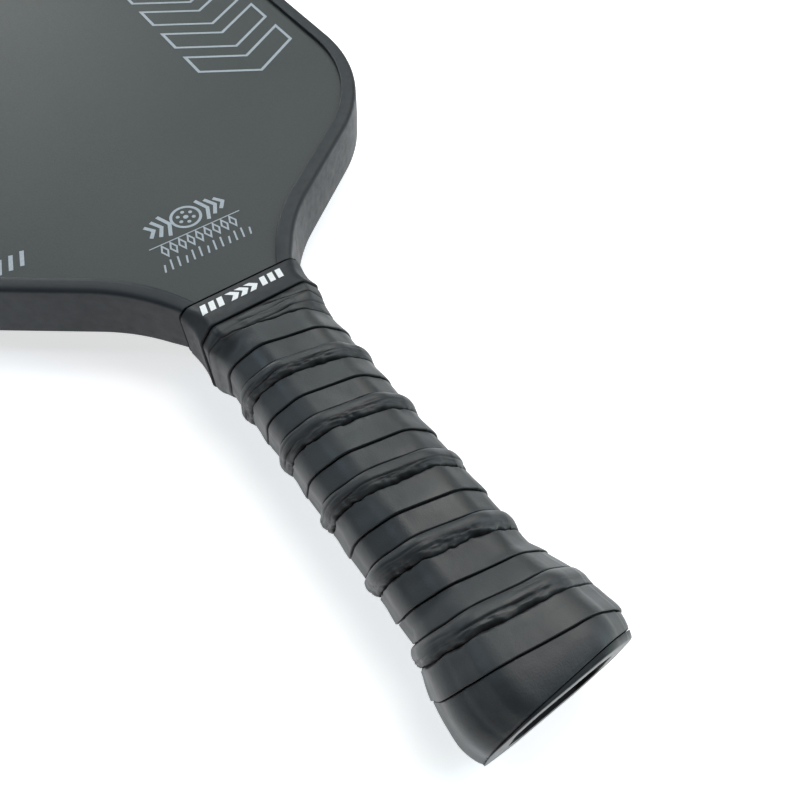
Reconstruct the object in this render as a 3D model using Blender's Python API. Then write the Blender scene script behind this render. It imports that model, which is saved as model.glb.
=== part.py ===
"""A pickleball paddle: honeycomb core between two carbon face sheets, an edge guard, and an octagonal handle with
a flared butt cap, a ribbed spiral grip and a rubber collar.

The paddle lies flat. +Z is the front face's outward normal, +Y runs from the butt to the head and +X across.
The origin is the centre of the paddle's bounding box.
Every size below is in millimetres, and every place along the paddle is a distance from the butt's end face.
"""

import math
from itertools import accumulate

import bmesh
import bpy

MM = 0.001
GAP = 0.3

LENGTH = 419.0
HEAD_HALF_WIDTH = 92.9

# The head's outline, as arcs: the neck's hollow, the shoulder's corner, the top corner and the crowned top edge.
NECK_RADIUS = 66.0
NECK_HALF_WIDTH = 11.4
NECK_START = 110.3
SHOULDER_ANGLE = math.radians(36.3)
CORNER_RADIUS = 66.2
TOP_CORNER_RADIUS = 60.0
CROWN_RADIUS = 620.0

# The panel, from the middle of its thickness outwards.
CORE_HALF_THICKNESS = 7.3
SHEET_INNER = 7.6
SHEET_OUTER = 8.2
PANEL_INSET = 1.8
TANG_HALF_WIDTH = 11.9
TANG_START = 9.0
CELL_PITCH = 19.0
CELL_WALL = 0.9
CORE_RIM = 4.0
TANG_CELLS_START = 20.0
CELL_COLUMNS_EACH_SIDE = 5

GUARD_WALL = 1.5
GUARD_LIP = 5.0
GUARD_HALF_THICKNESS = 9.3
GUARD_BEVEL = 1.2
GUARD_START = 134.0

# The handle's bare octagon, which the grip is wound on.
HANDLE_HALF_WIDTH = 15.3
HANDLE_HALF_HEIGHT = 12.9
HANDLE_CHAMFER_X = 7.3
HANDLE_CHAMFER_Z = 5.7
CORNER_CUT = 1.1

SHELL_START = 8.2
SHELL_REBATE = 0.9
SHELL_REBATE_START = 125.2
SHELL_RAMP_START = 130.0
SHELL_END = 133.2
SHELL_END_HALF_WIDTH = 15.0
SHELL_END_HALF_HEIGHT = 10.2

# The butt's flare: how far the octagon grows outwards at its widest, and how much it tucks in again at the end.
FLARE_START = 30.0
FLARE_WIDEST = 7.0
FLARE_GROWTH = 5.15
FLARE_TUCK = 2.0
FLARE_HEIGHT_SHARE = 0.87
FLARE_CHAMFER_X_SHARE = 0.35
FLARE_CHAMFER_Z_SHARE = 0.6

CAP_MOUTH = 25.0
CAP_FLANGE = 2.2
CAP_RECESS_DEPTH = 4.4
CAP_WEB_TOP = 7.6
CAP_SOCKET_CLEARANCE = 0.3
CAP_UNDER_GRIP = 0.5
DISC_START = 1.9
DISC_THICKNESS = 1.0
# The recess in the cap's end: half width, half height and corner cuts. The disc lies in it.
CAP_RECESS = (13.6, 12.2, 5.0, 4.4)

STAPLE_HEIGHT = 10.6
STAPLE_HALF_SPAN = 4.0
STAPLE_WIRE = 1.0
STAPLE_TIP = 17.0
STAPLE_HOLE = 1.7

GRIP_START = 2.5
GRIP_END = 125.3
GRIP_THICKNESS = 1.8
GRIP_PITCH = 20.36
GRIP_FIRST_SEAM = 111.2
GRIP_LAP = 4.0
LAP_THICKNESS = 0.8
LONGEST_STEP = 6.0
RIB_START = 7.9
RIB_WIDTH = 5.6
RIB_HEIGHT = 1.7
CORD_RADIUS = 1.15
# The rib rises from the strip over a short way at each end, and the cord under it lies between.
RIB_RISES = (9.0, 15.0)
RIB_FALLS = (115.0, 121.0)

TAPE_START = 125.8
TAPE_END = 129.8
TAPE_THICKNESS = 0.5

# The collar's stations: place along the handle, then half width, half height and corner cuts of its outside
# and of its inside. It clears the tape and the shells at its lower end and the edge guard at its upper end.
COLLAR_STATIONS = (
    (125.6, (18.8, 15.2, 4.2, 5.2), (16.2, 13.3, 5.0, 4.4)),
    (130.2, (18.4, 14.4, 3.8, 4.6), (16.0, 13.2, 4.6, 4.0)),
    (134.0, (18.5, 13.0, 3.4, 3.8), (16.6, 11.4, 2.6, 2.8)),
    (140.2, (19.8, 10.5, 2.6, 2.4), (19.0, 9.7, 1.0, 1.0)),
)


def remove_everything():
    for item in list(bpy.data.objects):
        bpy.data.objects.remove(item, do_unlink=True)


def material(name, colour, roughness, metallic=0.0):
    made = bpy.data.materials.new(name)
    made.use_nodes = True
    shader = made.node_tree.nodes["Principled BSDF"]
    shader.inputs["Base Color"].default_value = (*colour, 1.0)
    shader.inputs["Roughness"].default_value = roughness
    shader.inputs["Metallic"].default_value = metallic
    made.diffuse_color = (*colour, 1.0)
    return made


def place(x, along, z):
    """A point in metres, from millimetres and a distance from the butt's end."""
    return (x * MM, (along - LENGTH / 2) * MM, z * MM)


def make_object(name, points, faces, finish):
    """One closed body. Its normals are made to point outwards, and only its sharp edges stay sharp."""
    mesh = bpy.data.meshes.new(name)
    mesh.from_pydata([place(*p) for p in points], [], faces)
    work = bmesh.new()
    work.from_mesh(mesh)
    bmesh.ops.recalc_face_normals(work, faces=work.faces)
    work.to_mesh(mesh)
    work.free()
    mesh.shade_smooth()
    mesh.set_sharp_from_angle(angle=math.radians(35))
    mesh.materials.append(finish)
    made = bpy.data.objects.new(name, mesh)
    bpy.context.scene.collection.objects.link(made)
    return made


def bridge(first, second, count):
    """Quads between two closed rings of vertices, given by the number of each ring's first vertex."""
    return [(first + i, first + (i + 1) % count, second + (i + 1) % count, second + i) for i in range(count)]


def loft(name, rings, finish):
    """A solid bar through closed rings of equal count, with both ends capped."""
    count = len(rings[0])
    points = [p for ring in rings for p in ring]
    faces = [tuple(range(count))]
    for k in range(len(rings) - 1):
        faces += bridge(k * count, (k + 1) * count, count)
    faces.append(tuple(range((len(rings) - 1) * count, len(rings) * count)))
    return make_object(name, points, faces, finish)


def sleeve(name, outer_rings, inner_rings, finish):
    """A tube with a wall, open at both ends: its rings run up the outside and down the inside."""
    rings = outer_rings + inner_rings[::-1]
    count = len(rings[0])
    points = [p for ring in rings for p in ring]
    faces = []
    for k in range(len(rings)):
        faces += bridge(k * count, ((k + 1) % len(rings)) * count, count)
    return make_object(name, points, faces, finish)


def slab(name, outline, low, high, finish):
    """A flat plate with the given outline of (x, along) points, from one height to another."""
    return loft(name, [[(x, y, low) for x, y in outline], [(x, y, high) for x, y in outline]], finish)


def cut(target, cutter, operation="DIFFERENCE"):
    """Applies a Boolean at once, so that the cutter can go."""
    modifier = target.modifiers.new("cut", "BOOLEAN")
    modifier.operation = operation
    modifier.solver = "EXACT"
    modifier.object = cutter
    graph = bpy.context.evaluated_depsgraph_get()
    result = bpy.data.meshes.new_from_object(target.evaluated_get(graph))
    target.modifiers.clear()
    target.data = result
    bpy.data.objects.remove(cutter, do_unlink=True)


# Outlines seen along the handle: lists of (x, z) points that run from the top, towards +X, round to the start.


def octagon(half_width, half_height, chamfer_x, chamfer_z):
    """An octagon with each of its corners cut once more, which rounds it."""
    quarter = [(half_width - chamfer_x, half_height), (half_width, half_height - chamfer_z)]
    corners = quarter + [(x, -z) for x, z in quarter[::-1]]
    corners += [(-x, z) for x, z in corners[::-1]]
    points = []
    for k, corner in enumerate(corners):
        for other in (corners[k - 1], corners[(k + 1) % len(corners)]):
            reach = math.dist(corner, other)
            share = min(CORNER_CUT, 0.3 * reach) / reach
            points.append(tuple(c + (o - c) * share for c, o in zip(corner, other)))
    return points


def grown(outline, distance):
    """The outline moved outwards by a distance, with its corners mitred."""
    moved = []
    for k, (x, z) in enumerate(outline):
        before = outline[k - 1]
        after = outline[(k + 1) % len(outline)]
        normals = []
        for (x0, z0), (x1, z1) in ((before, (x, z)), ((x, z), after)):
            size = math.hypot(x1 - x0, z1 - z0)
            normals.append(((z0 - z1) / size, (x1 - x0) / size))
        (ax, az), (bx, bz) = normals
        reach = distance / (1 + ax * bx + az * bz)
        moved.append((x + (ax + bx) * reach, z + (az + bz) * reach))
    return moved


def flare(along):
    """How far the butt's flare stands out from the straight handle."""
    if along >= FLARE_START:
        return 0.0
    if along >= FLARE_WIDEST:
        share = (FLARE_START - along) / (FLARE_START - FLARE_WIDEST)
        return FLARE_GROWTH * math.sin(math.pi / 2 * share)
    share = (FLARE_WIDEST - max(along, 0.0)) / FLARE_WIDEST
    return FLARE_GROWTH - FLARE_TUCK * share**2


def handle_outline(along, height=0.0):
    """The octagon under the grip, or that far above it, with the butt's flare."""
    growth = flare(along)
    base = octagon(
        HANDLE_HALF_WIDTH + growth,
        HANDLE_HALF_HEIGHT + growth * FLARE_HEIGHT_SHARE,
        HANDLE_CHAMFER_X + growth * FLARE_CHAMFER_X_SHARE,
        HANDLE_CHAMFER_Z + growth * FLARE_CHAMFER_Z_SHARE,
    )
    return grown(base, height)


def ring_at(outline, along):
    return [(x, along, z) for x, z in outline]


# The head's outline, seen from the front: lists of (x, along) points.


def arc(centre, radius, start, end, steps):
    turn = (end - start) / steps
    return [
        (centre[0] + radius * math.cos(start + turn * k), centre[1] + radius * math.sin(start + turn * k))
        for k in range(steps + 1)
    ]


def neck_angle(along, inset):
    """The neck arc's angle, from its narrowest point, at a place along the paddle."""
    return math.asin((along - NECK_START) / (NECK_RADIUS + inset))


def head_arcs(inset, first_angle):
    """The right half of the head's outline, set in by a distance, from the neck up to the top's middle."""
    neck_centre = (NECK_HALF_WIDTH + NECK_RADIUS, NECK_START)
    shoulder_normal = math.pi / 2 - SHOULDER_ANGLE
    neck_end = arc(neck_centre, NECK_RADIUS, math.pi - shoulder_normal, 0, 1)[0]
    corner_x = HEAD_HALF_WIDTH - CORNER_RADIUS
    straight = corner_x + CORNER_RADIUS * math.sin(SHOULDER_ANGLE) - neck_end[0]
    corner_y = neck_end[1] + straight * math.tan(SHOULDER_ANGLE) + CORNER_RADIUS * math.cos(SHOULDER_ANGLE)
    crown_centre = (0.0, LENGTH - CROWN_RADIUS)
    top_x = HEAD_HALF_WIDTH - TOP_CORNER_RADIUS
    crown_reach = CROWN_RADIUS - TOP_CORNER_RADIUS
    crown_angle = math.acos(top_x / crown_reach)
    top_centre = (top_x, crown_centre[1] + crown_reach * math.sin(crown_angle))
    points = arc(neck_centre, NECK_RADIUS + inset, math.pi - first_angle, math.pi - shoulder_normal, 9)
    points += arc((corner_x, corner_y), CORNER_RADIUS - inset, -shoulder_normal, 0, 11)
    points += arc(top_centre, TOP_CORNER_RADIUS - inset, 0, crown_angle, 14)
    points += arc(crown_centre, CROWN_RADIUS - inset, crown_angle, math.pi / 2, 3)[1:]
    return points


def mirrored(half):
    """A whole outline from its right half, which ends on the middle line."""
    return half + [(-x, y) for x, y in half[-2::-1]]


def panel_outline(inset):
    """The panel's outline: the head, and the straight tang that runs down inside the handle."""
    tang = TANG_HALF_WIDTH + PANEL_INSET - inset
    angle = math.acos((NECK_HALF_WIDTH + NECK_RADIUS - tang) / (NECK_RADIUS + inset))
    return mirrored([(tang, TANG_START)] + head_arcs(inset, angle))


def inside(x, y, outline):
    """Whether a point is inside an outline: a line to its right crosses the outline an odd number of times."""
    found = False
    for k, (x1, y1) in enumerate(outline):
        x0, y0 = outline[k - 1]
        if (y0 > y) != (y1 > y) and x < x0 + (x1 - x0) * (y - y0) / (y1 - y0):
            found = not found
    return found


def hexagon(x, y):
    """One cell of the honeycomb, with two of its corners in line along the paddle."""
    radius = (CELL_PITCH - CELL_WALL) / math.sqrt(3)
    angles = [math.radians(60 * k) for k in range(6)]
    return [(x + radius * math.sin(a), y + radius * math.cos(a)) for a in angles]


def make_core():
    """A slab with its full cells cut right through. The rim and the tang's end stay solid."""
    finish = material("polypropylene_core", (0.72, 0.74, 0.72), 0.6)
    core = slab("honeycomb_core", panel_outline(PANEL_INSET), -CORE_HALF_THICKNESS, CORE_HALF_THICKNESS, finish)
    room = panel_outline(PANEL_INSET + CORE_RIM)
    row_step = CELL_PITCH * math.sqrt(3) / 2
    reach = CORE_HALF_THICKNESS + 1.0
    points = []
    faces = []
    for row in range(int(LENGTH / row_step)):
        y = TANG_CELLS_START + row * row_step
        for column in range(-CELL_COLUMNS_EACH_SIDE, CELL_COLUMNS_EACH_SIDE + 1):
            x = (column + 0.5 * (row % 2)) * CELL_PITCH
            cell = hexagon(x, y)
            if not all(inside(px, py, room) for px, py in cell):
                continue
            first = len(points)
            points += [(px, py, z) for z in (-reach, reach) for px, py in cell]
            faces += [tuple(range(first, first + 6)), tuple(range(first + 6, first + 12))]
            faces += bridge(first, first + 6, 6)
    cut(core, make_object("cells", points, faces, finish))


def make_sheets():
    finish = material("carbon_face", (0.085, 0.09, 0.09), 0.55)
    outline = panel_outline(PANEL_INSET)
    slab("front_face_sheet", outline, SHEET_INNER, SHEET_OUTER, finish)
    slab("back_face_sheet", outline, -SHEET_OUTER, -SHEET_INNER, finish)


def make_edge_guard():
    """A channel around the head: a wall with a lip on each face. Its ends tuck in under the collar."""
    finish = material("edge_guard_plastic", (0.06, 0.064, 0.07), 0.45)
    angle = neck_angle(GUARD_START, 0.0)
    lip = SHEET_OUTER + GAP
    profile = (
        (0.0, GUARD_HALF_THICKNESS - GUARD_BEVEL),
        (GUARD_BEVEL, GUARD_HALF_THICKNESS),
        (GUARD_LIP, GUARD_HALF_THICKNESS),
        (GUARD_LIP, lip),
        (GUARD_WALL, lip),
    )
    profile += tuple((inset, -z) for inset, z in profile[::-1])
    paths = [mirrored(head_arcs(inset, angle)) for inset, _ in profile]
    rings = [[(*path[k], z) for path, (_, z) in zip(paths, profile)] for k in range(len(paths[0]))]
    loft("edge_guard", rings, finish)


def shell_ring(along, half_width, half_height, chamfer_share, recess, side):
    """The cross-section of a half shell: a chamfered channel over one face of the tang."""
    chamfer_x = HANDLE_CHAMFER_X * chamfer_share
    chamfer_z = HANDLE_CHAMFER_Z * chamfer_share
    half = octagon(half_width, half_height, chamfer_x, chamfer_z)[:4]
    half += [(half_width, GAP / 2), (recess, GAP / 2), (recess, SHEET_OUTER + GAP)]
    return [(x, along, z * side) for x, z in half + [(-x, z) for x, z in half[::-1]]]


def make_handle_shells():
    """Two moulded half shells that clasp the tang, with a rebate and a ramp under the collar at the head end."""
    finish = material("handle_shell", (0.05, 0.05, 0.05), 0.6)
    recess = TANG_HALF_WIDTH + GAP
    rebate_width = HANDLE_HALF_WIDTH - SHELL_REBATE
    rebate_height = HANDLE_HALF_HEIGHT - SHELL_REBATE
    stations = (
        (SHELL_START, HANDLE_HALF_WIDTH, HANDLE_HALF_HEIGHT, 1.0, recess),
        (SHELL_REBATE_START, HANDLE_HALF_WIDTH, HANDLE_HALF_HEIGHT, 1.0, recess),
        (SHELL_REBATE_START + GAP / 2, rebate_width, rebate_height, 1.0, recess),
        (SHELL_RAMP_START, rebate_width, rebate_height, 1.0, recess + 0.9),
        (SHELL_END, SHELL_END_HALF_WIDTH, SHELL_END_HALF_HEIGHT, 0.3, recess + 1.9),
    )
    for name, side in (("handle_shell_front", 1), ("handle_shell_back", -1)):
        shell = loft(name, [shell_ring(*station, side) for station in stations], finish)
        cut(shell, staple_holes(side))


def round_bar(x, z, low, high, radius, sides=8):
    """A short rod along the handle, as points and faces."""
    circle = [(2 * math.pi * k / sides) for k in range(sides)]
    points = [(x + radius * math.cos(a), y, z + radius * math.sin(a)) for y in (low, high) for a in circle]
    faces = [tuple(range(sides)), tuple(range(sides, 2 * sides))] + bridge(0, sides, sides)
    return points, faces


def staple_holes(side):
    """The two holes that one staple's legs go into."""
    points = []
    faces = []
    low = CAP_RECESS_DEPTH - 1.0
    for x in (-STAPLE_HALF_SPAN, STAPLE_HALF_SPAN):
        more, sides = round_bar(x, side * STAPLE_HEIGHT, low, STAPLE_TIP + 1.0, STAPLE_HOLE / 2)
        faces += [tuple(i + len(points) for i in face) for face in sides]
        points += more
    return make_object("staple_holes", points, faces, None)


def make_staples():
    """A bent wire in each shell: a crown on the cap's web and two legs through it, along the handle."""
    finish = material("staple_steel", (0.6, 0.6, 0.6), 0.3, 1.0)
    half = STAPLE_WIRE / 2
    crown = CAP_RECESS_DEPTH - GAP - STAPLE_WIRE
    foot = crown + STAPLE_WIRE
    out = STAPLE_HALF_SPAN + half
    inner = STAPLE_HALF_SPAN - half
    outline = [(out, crown), (out, STAPLE_TIP), (inner, STAPLE_TIP), (inner, foot)]
    outline += [(-x, y) for x, y in outline[::-1]]
    for name, side in (("butt_cap_staple_front", 1), ("butt_cap_staple_back", -1)):
        middle = side * STAPLE_HEIGHT
        slab(name, outline, middle - half, middle + half, finish)


def make_butt_cap():
    """The flared cap: a socket for the handle's end, a web that the staples go through and a recess behind it."""
    finish = material("butt_cap_plastic", (0.04, 0.04, 0.042), 0.4)
    steps = [CAP_FLANGE + (CAP_MOUTH - CAP_FLANGE) * k / 8 for k in range(9)]
    outer = [ring_at(handle_outline(y, GRIP_THICKNESS), y) for y in (0.0, CAP_FLANGE - 0.1)]
    outer += [ring_at(handle_outline(y, -CAP_UNDER_GRIP), y) for y in steps]
    socket = grown(handle_outline(FLARE_START), CAP_SOCKET_CLEARANCE)
    recess = octagon(*CAP_RECESS)
    rings = [ring_at(recess, CAP_RECESS_DEPTH), ring_at(recess, 0.0)] + outer
    rings += [ring_at(socket, CAP_MOUTH), ring_at(socket, CAP_WEB_TOP)]
    cap = loft("butt_cap", rings, finish)
    for side in (1, -1):
        cut(cap, staple_holes(side))


def make_butt_cap_disc():
    finish = material("butt_cap_disc_plastic", (0.03, 0.03, 0.032), 0.35)
    outline = grown(octagon(*CAP_RECESS), -GAP)
    loft("butt_cap_disc", [ring_at(outline, y) for y in (DISC_START, DISC_START + DISC_THICKNESS)], finish)


def perimeter_shares(outline):
    """How far round the outline each of its points is, from the top's middle, as a share of a full turn."""
    steps = [math.dist(start, end) for start, end in zip(outline, outline[1:])]
    around = sum(steps) + math.dist(outline[-1], outline[0])
    return [travelled / around for travelled in accumulate(steps, initial=outline[0][0])]


def refined(profile, longest):
    """The closed profile with its long sides split, so that it can follow the flare's curve."""
    points = []
    for k, start in enumerate(profile):
        end = profile[(k + 1) % len(profile)]
        parts = math.ceil(math.dist(start, end) / longest)
        points += [tuple(a + (b - a) * i / parts for a, b in zip(start, end)) for i in range(parts)]
    return points


def rib_share(along):
    """How much of the rib's height there is at a place along the handle: none at the grip's two ends."""
    rise = (along - RIB_RISES[0]) / (RIB_RISES[1] - RIB_RISES[0])
    fall = (RIB_FALLS[1] - along) / (RIB_FALLS[1] - RIB_FALLS[0])
    return max(0.0, min(rise, fall, 1.0))


def wound(profile, low, high):
    """Rings for a strip wound on the handle, from its profile at each corner of each turn. The profile is a list
    of (across, height, rise): rise is what the rib adds to the height.
    A turn starts where the strip's lower edge crosses the top's middle and moves towards the butt as it goes
    towards +X. The rings run from the butt to the head, between two places of the lower edge."""
    shares = perimeter_shares(handle_outline(FLARE_START))
    count = len(shares)
    rings = []
    first = math.floor((GRIP_FIRST_SEAM - high) / GRIP_PITCH) * count
    last = math.ceil((GRIP_FIRST_SEAM - low) / GRIP_PITCH) * count
    for k in range(last, first, -1):
        turn, corner = divmod(k, count)
        edge = GRIP_FIRST_SEAM - GRIP_PITCH * (turn + shares[corner])
        if low <= edge <= high:
            ring = []
            for across, height, rise in profile:
                along = edge + across
                x, z = handle_outline(along, height + rise * rib_share(along))[corner]
                ring.append((x, along, z))
            rings.append(ring)
    return rings


def make_grip():
    """The cushioned strip. Each turn's lower edge laps over the thinned upper edge of the turn below it, and a
    raised rib runs along it, hollow underneath for the rib's cord."""
    finish = material("grip_leather", (0.05, 0.05, 0.052), 0.4)
    lap_bottom = LAP_THICKNESS + GAP
    rib_end = RIB_START + RIB_WIDTH
    middle = RIB_START + RIB_WIDTH / 2
    bottom = GAP / 2
    hollow = CORD_RADIUS + GAP
    roof = 2 * hollow - bottom
    profile = [
        (0.0, lap_bottom, 0.0),
        (0.0, GRIP_THICKNESS, 0.0),
        (RIB_START, GRIP_THICKNESS, 0.0),
        (RIB_START + 1.0, GRIP_THICKNESS, 0.8 * RIB_HEIGHT),
        (middle, GRIP_THICKNESS, RIB_HEIGHT),
        (rib_end - 1.0, GRIP_THICKNESS, 0.8 * RIB_HEIGHT),
        (rib_end, GRIP_THICKNESS, 0.0),
        (GRIP_PITCH - GAP, GRIP_THICKNESS, 0.0),
        (GRIP_PITCH - GAP, LAP_THICKNESS, 0.0),
        (GRIP_PITCH + GRIP_LAP - GAP, LAP_THICKNESS, 0.0),
        (GRIP_PITCH + GRIP_LAP - GAP, bottom, 0.0),
        (middle + hollow + 0.2, bottom, 0.0),
        (middle + hollow + 0.1, bottom, hollow - bottom),
        (middle + hollow / 2, bottom, roof),
        (middle - hollow / 2, bottom, roof),
        (middle - hollow - 0.1, bottom, hollow - bottom),
        (middle - hollow - 0.2, bottom, 0.0),
        (GRIP_LAP + GAP, bottom, 0.0),
        (GRIP_LAP + GAP, lap_bottom, 0.0),
    ]
    reach = GRIP_PITCH + GRIP_LAP
    strip = wound(refined(profile, LONGEST_STEP), GRIP_START - reach - 2.0, GRIP_END + 2.0)
    grip = loft("grip_wrap", strip, finish)
    half = 2 * HEAD_HALF_WIDTH
    room = [(half, GRIP_START), (half, GRIP_END), (-half, GRIP_END), (-half, GRIP_START)]
    cut(grip, slab("room", room, -half, half, finish), "INTERSECT")


def make_rib_cord():
    finish = material("rib_cord_foam", (0.3, 0.3, 0.3), 0.8)
    middle = RIB_START + RIB_WIDTH / 2
    lift = CORD_RADIUS + GAP
    angles = [2 * math.pi * k / 8 for k in range(8)]
    profile = [(middle + CORD_RADIUS * math.cos(a), lift + CORD_RADIUS * math.sin(a), 0.0) for a in angles]
    low = RIB_RISES[1] + CORD_RADIUS - middle
    high = RIB_FALLS[0] - CORD_RADIUS - middle
    loft("grip_rib_cord", wound(profile, low, high), finish)


def make_finishing_tape():
    """A band of tape over the shells' rebate. It holds the grip's end, under the collar."""
    finish = material("finishing_tape_vinyl", (0.03, 0.03, 0.03), 0.5)
    bare = grown(handle_outline(FLARE_START), GAP - SHELL_REBATE)
    places = (TAPE_START, TAPE_END)
    outer = [ring_at(grown(bare, TAPE_THICKNESS), y) for y in places]
    sleeve("finishing_tape", outer, [ring_at(bare, y) for y in places], finish)


def make_collar():
    finish = material("collar_rubber", (0.045, 0.046, 0.048), 0.5)
    outer = [ring_at(octagon(*outside), y) for y, outside, _ in COLLAR_STATIONS]
    inner = [ring_at(octagon(*within), y) for y, _, within in COLLAR_STATIONS]
    sleeve("collar_band", outer, inner, finish)


def main():
    remove_everything()
    make_core()
    make_sheets()
    make_edge_guard()
    make_handle_shells()
    make_butt_cap()
    make_butt_cap_disc()
    make_staples()
    make_grip()
    make_rib_cord()
    make_finishing_tape()
    make_collar()


main()
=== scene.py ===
"""The looks of the pickleball paddle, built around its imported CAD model.

Sizes are in millimetres. A place along the paddle is its distance from the butt's end face, x runs across
it and z is the height above the middle of its thickness, on the front face's side.
"""

import math
from collections import Counter

import bmesh
import bpy
import numpy as np
from mathutils import Euler, Matrix, Vector
from mathutils.bvhtree import BVHTree


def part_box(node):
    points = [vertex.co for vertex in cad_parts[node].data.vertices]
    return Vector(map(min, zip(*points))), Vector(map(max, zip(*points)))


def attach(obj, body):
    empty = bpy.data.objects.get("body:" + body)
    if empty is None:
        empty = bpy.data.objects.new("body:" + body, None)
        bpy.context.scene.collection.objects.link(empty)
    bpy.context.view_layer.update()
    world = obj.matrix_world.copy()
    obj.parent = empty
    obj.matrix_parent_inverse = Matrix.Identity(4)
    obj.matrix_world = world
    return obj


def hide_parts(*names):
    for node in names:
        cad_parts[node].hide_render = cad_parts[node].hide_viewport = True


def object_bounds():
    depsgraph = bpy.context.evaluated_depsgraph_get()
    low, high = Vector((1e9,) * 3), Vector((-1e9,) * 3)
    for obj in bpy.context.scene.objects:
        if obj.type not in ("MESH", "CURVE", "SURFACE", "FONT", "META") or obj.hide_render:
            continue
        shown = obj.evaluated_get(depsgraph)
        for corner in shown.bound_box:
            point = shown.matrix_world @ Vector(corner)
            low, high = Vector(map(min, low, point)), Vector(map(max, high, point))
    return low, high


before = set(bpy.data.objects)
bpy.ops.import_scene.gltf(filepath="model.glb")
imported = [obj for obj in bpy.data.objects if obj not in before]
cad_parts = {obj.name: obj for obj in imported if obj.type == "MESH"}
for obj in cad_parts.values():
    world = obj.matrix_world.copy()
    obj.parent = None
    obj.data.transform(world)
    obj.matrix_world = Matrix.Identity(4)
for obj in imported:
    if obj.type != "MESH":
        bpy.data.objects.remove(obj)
CAD_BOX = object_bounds()

MM = 0.001
BODY = "root"
BUTT = CAD_BOX[0].y
LENGTH = (CAD_BOX[1].y - CAD_BOX[0].y) / MM


def reach(node):
    """A CAD node's largest x, its first and last place along the paddle, and its largest z."""
    low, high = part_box(node)
    return high.x / MM, (low.y - BUTT) / MM, (high.y - BUTT) / MM, high.z / MM


HEAD_HALF_WIDTH, GUARD_START, _, GUARD_HALF_THICKNESS = reach("edge_guard")
_, GRIP_START, GRIP_END, _ = reach("grip_wrap")
_, COLLAR_START, COLLAR_END, _ = reach("collar_band")
FACE_HEIGHT = reach("front_face_sheet")[3]
HANDLE_HALF_WIDTH, _, _, HANDLE_HALF_HEIGHT = reach("handle_shell_front")
_, CORD_START, CORD_END, _ = reach("grip_rib_cord")

# The head's outline, as arcs.
NECK_RADIUS = 66.0
NECK_HALF_WIDTH = 11.4
NECK_START = 110.3
NECK_FIRST = 134.0
SHOULDER_ANGLE = math.radians(36.3)
CORNER_RADIUS = 66.2
TOP_CORNER_RADIUS = 60.0
CROWN_RADIUS = 620.0
GUARD_LIP = 5.0
GUARD_ROUND = 1.5
GUARD_WALL = 1.5
GUARD_CROWN = 0.18
GUARD_PROUD = 0.42
GUARD_LIP_ROUND = 0.35
GUARD_LIP_GAP = 0.28
GUARD_RISE = 8.0

# The bare handle under the grip, and the butt's flare, which grows by a little less at the corners.
CHAMFER_X = 7.3
CHAMFER_Z = 5.7
BASE_ROUND = 6.2
FLARE_START = 30.0
FLARE_WIDEST = 7.0
FLARE_GROWTH = 5.15
FLARE_TUCK = 2.0
FLARE_SHIFT = ((0.65, 0.87), (1.0, 0.27))

# The wound strip: its spiral, its thickness, and the crease, rib and line along it. Each turn's lower edge
# laps over the turn below. The left side is a little thicker than the right.
PITCH = 20.36
FIRST_SEAM = 111.2
LAP = 4.0
THICKNESS = 1.85
LAP_THICKNESS = 0.85
LAP_START_THICKNESS = 0.30
LAP_STEP = 0.42
SIDE_LEAN = 0.28
LEFT_SWELL = 0.32
CREASE = 7.9
CREASE_DEPTH = 0.60
RIB_HEIGHT = 1.3
RIB_TOP = 3.4
RIB_END = 13.5
LINE_DEPTH = 0.85
STATIONS_PER_TURN = 300

# Where parts of the strip grow along the handle: the place where each starts and the length it takes.
LAPS_GROW = (4.0, 2.5)
LINES_GROW = (12.5, 2.5)
RIB_GROWS = (12.0, 5.0)
RIB_SINKS = (112.0, 8.0)
RIB_SINK_SHARE = 0.8
RIGHT_RIB_GROWS = (26.0, 14.0)
SWELL_GROWS = (15.0, 8.0)
SWELL_SINKS = (45.0, 50.0)
LOOSENESS_ENDS = (16.0, 18.0)
GAP_GROWS = (20.0, 20.0)
LEFT_BULGE_GROWS = (118.5, 5.0)
COLLAR_FILL_GROWS = (116.0, 8.5)

# Noise over the strip: depth, length round the handle, width across the strip and seed.
BROAD_WAVE = (0.12, 9, 5, 3)
SMALL_WAVE = (0.045, 3, 2, 4)
LOOSE_WAVE = (0.26, 13, 10, 17)
RIB_WAVE = (0.12, 5, 1, 5)
CREST_STRAY = (0.35, 11, 1, 30)
LONG_WRINKLE = (0.20, 3.2, 0.55, 6)
SHORT_WRINKLE = (0.12, 1.3, 0.35, 7)
GATHER = (0.09, 0.9, 1.2, 8)
CROWN_WAVE = (0.03, 8, 0.4, 18)
CREASE_WAVE = (0.12, 1.1, 1.2, 13)
FIRST_FOLD_STRAY = (0.5, 6, 1, 9)
SECOND_FOLD_STRAY = (0.6, 9, 1, 11)
LINE_WIDTH_WAVE = (0.05, 2, 1, 19)
LINE_DEPTH_WAVE = (0.2, 3, 1, 15)
EDGE_STRAY = (0.30, 1, 1, 22)
CREASE_STRAY = (0.26, 4.2, 1, 20)
CREASE_JITTER = (0.20, 1.4, 1, 21)
LINE_STRAY = (0.22, 8, 1, 24)
LEAN_WAVE = (0.3, 2, 1, 23)

# What comes and goes along the strip: its usual share, how much that varies, over what length, and seed.
FIRST_FOLD = (0.5, 1.2, 7, 10)
SECOND_FOLD = (0.2, 1.2, 8, 12)
NICKS = (0.3, 1.6, 1.8, 14)
# The last two place painted shade: spots beside the crease and patches on the rib's slope.
PITS = (0.1, 1.5, 1.5, 25)
BLOTCHES = (0.55, 1.1, 4.5, 16)

# Folds across the wrap below the collar: place, strength and seed.
COLLAR_FOLDS = ((119.9, 1.0, 26), (122.4, 0.7, 27), (124.2, 0.45, 28))
COLLAR_FOLD_DEPTH = 0.55
COLLAR_FOLD_LEAN = 0.035

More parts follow.
